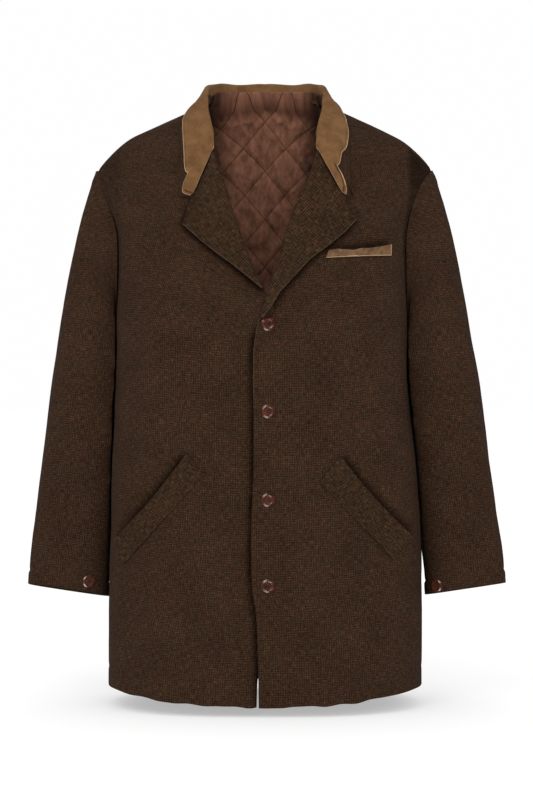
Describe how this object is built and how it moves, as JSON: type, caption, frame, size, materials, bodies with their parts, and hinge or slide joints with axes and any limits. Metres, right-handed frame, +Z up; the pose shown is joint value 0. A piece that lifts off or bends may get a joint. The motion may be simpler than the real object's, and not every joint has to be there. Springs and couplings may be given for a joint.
{
  "type": "overcoat",
  "caption": "Three-quarter-length single-breasted tweed overcoat, filled out with no wearer, with a suede-faced collar, notched lapels and welt pockets.",
  "frame": {"origin": "middle of the neck, level with the neck seam, where the wearer's neck and shoulders hold the coat", "axes": "+Z up, -Y towards the front of the coat, +X towards the wearer's left"},
  "size_m": [0.718, 0.2983, 0.9257],
  "materials": {
    "tweed": "dark brown woven wool tweed, matt with a short nap",
    "lapel_tweed": "the same tweed, cut on the cross",
    "suede": "tan suede with raw pale edges",
    "satin": "reddish brown quilted satin lining",
    "horn": "polished reddish brown horn"
  },
  "bodies": {
    "root": {"front_left": "tweed", "front_right": "tweed", "back": "tweed", "sleeve_left": "tweed", "sleeve_right": "tweed", "under_collar": "tweed", "lapel_left": "lapel_tweed", "lapel_right": "lapel_tweed", "hip_welt_left": "lapel_tweed", "hip_welt_right": "lapel_tweed", "collar_facing": "suede", "breast_welt": "suede", "lining_back": "satin", "button_front_1": "horn", "button_front_2": "horn", "button_front_3": "horn", "button_front_4": "horn", "button_cuff_left": "horn", "button_cuff_right": "horn"}
  },
  "joints": []
}
